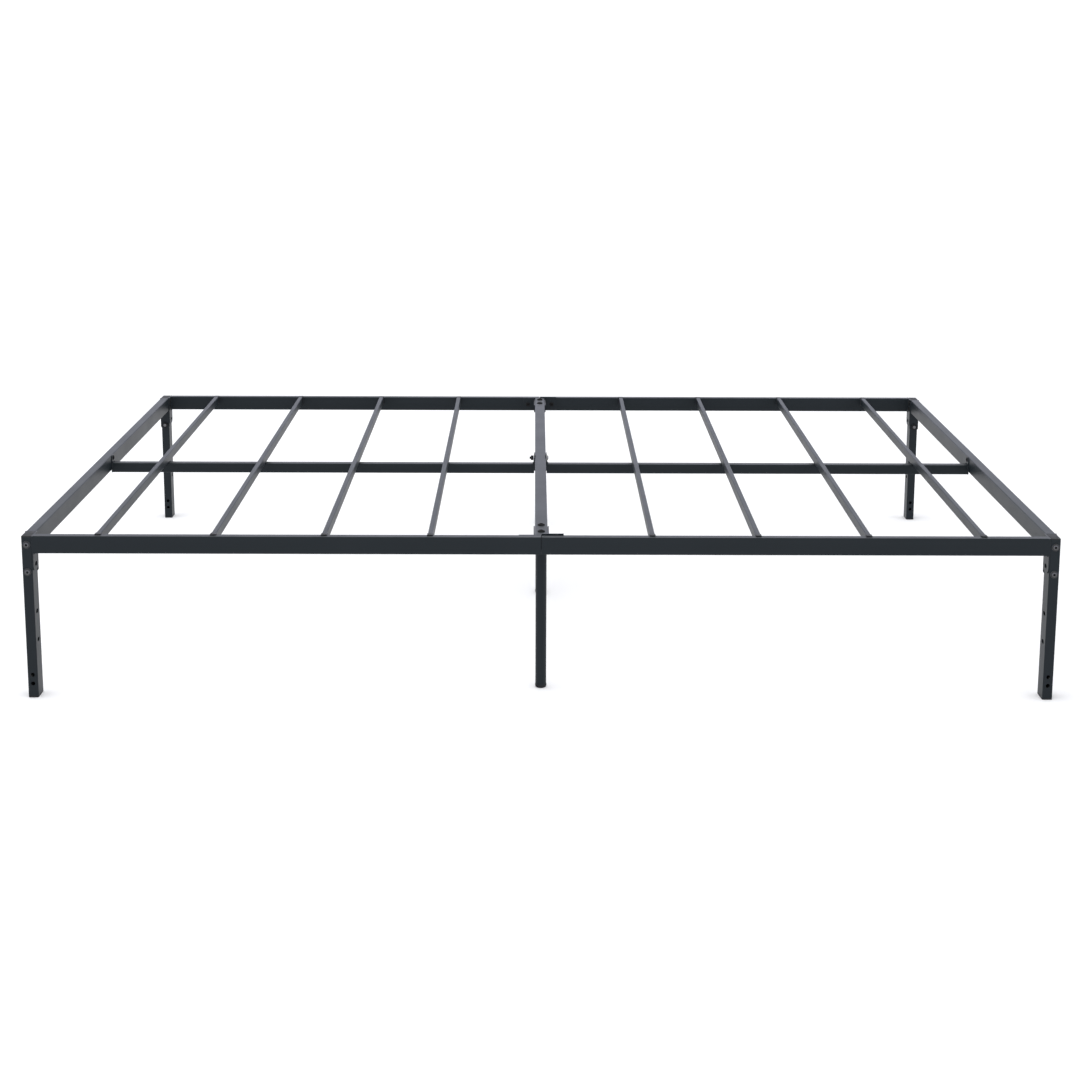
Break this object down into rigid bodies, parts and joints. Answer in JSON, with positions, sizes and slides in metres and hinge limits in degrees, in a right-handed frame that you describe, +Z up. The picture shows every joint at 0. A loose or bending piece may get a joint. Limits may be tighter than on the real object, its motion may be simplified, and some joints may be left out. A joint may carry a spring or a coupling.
{
  "type": "metal bed frame",
  "caption": "Low bolted steel platform bed frame with rectangular-tube legs and split side rails, a crossbar on round middle legs, a centre rail and cross slats.",
  "frame": {"origin": "on the floor under the middle of the frame", "axes": "+X along the length of the bed, +Y across it, +Z up"},
  "size_m": [2.035, 1.5314, 0.337],
  "materials": {
    "powder_coated_steel": "satin black powder coat, fine orange-peel texture",
    "black_plastic": "matt black moulded plastic",
    "black_bolt_steel": "black oxide, slightly glossy",
    "zinc_plated_steel": "zinc plated"
  },
  "bodies": {
    "root": {"leg_front_left": "powder_coated_steel", "leg_front_right": "powder_coated_steel", "leg_rear_left": "powder_coated_steel", "leg_rear_right": "powder_coated_steel", "leg_top_cap_front_left": "black_plastic", "leg_top_cap_front_right": "black_plastic", "leg_top_cap_rear_left": "black_plastic", "leg_top_cap_rear_right": "black_plastic", "leg_foot_cap_front_left": "black_plastic", "leg_foot_cap_front_right": "black_plastic", "leg_foot_cap_rear_left": "black_plastic", "leg_foot_cap_rear_right": "black_plastic", "side_rail_front_left": "powder_coated_steel", "side_rail_front_right": "powder_coated_steel", "side_rail_rear_left": "powder_coated_steel", "side_rail_rear_right": "powder_coated_steel", "end_rail_left": "powder_coated_steel", "end_rail_right": "powder_coated_steel", "centre_rail_left": "powder_coated_steel", "centre_rail_right": "powder_coated_steel", "joint_bracket_front": "powder_coated_steel", "joint_bracket_rear": "powder_coated_steel", "middle_leg_front": "powder_coated_steel", "middle_leg_rear": "powder_coated_steel", "middle_leg_glide_front": "black_plastic", "middle_leg_glide_rear": "black_plastic", "crossbar": "powder_coated_steel", "centre_leg": "powder_coated_steel", "centre_leg_glide": "black_plastic", "centre_leg_stud": "zinc_plated_steel", "centre_leg_nut": "zinc_plated_steel", "slat_1": "powder_coated_steel", "slat_2": "powder_coated_steel", "slat_3": "powder_coated_steel", "slat_4": "powder_coated_steel", "slat_5": "powder_coated_steel", "slat_6": "powder_coated_steel", "slat_7": "powder_coated_steel", "slat_8": "powder_coated_steel", "slat_end_caps_1": "black_plastic", "slat_end_caps_2": "black_plastic", "slat_end_caps_3": "black_plastic", "slat_end_caps_4": "black_plastic", "slat_end_caps_5": "black_plastic", "slat_end_caps_6": "black_plastic", "slat_end_caps_7": "black_plastic", "slat_end_caps_8": "black_plastic", "leg_bolts": "black_bolt_steel", "leg_nuts": "black_bolt_steel", "m6_rail_bolts": "black_bolt_steel", "m6_weld_nuts": "zinc_plated_steel", "crossbar_bolts": "black_bolt_steel", "crossbar_nuts": "black_bolt_steel", "centre_bolt": "black_bolt_steel", "centre_nut": "black_bolt_steel", "centre_washers": "zinc_plated_steel"}
  },
  "joints": []
}
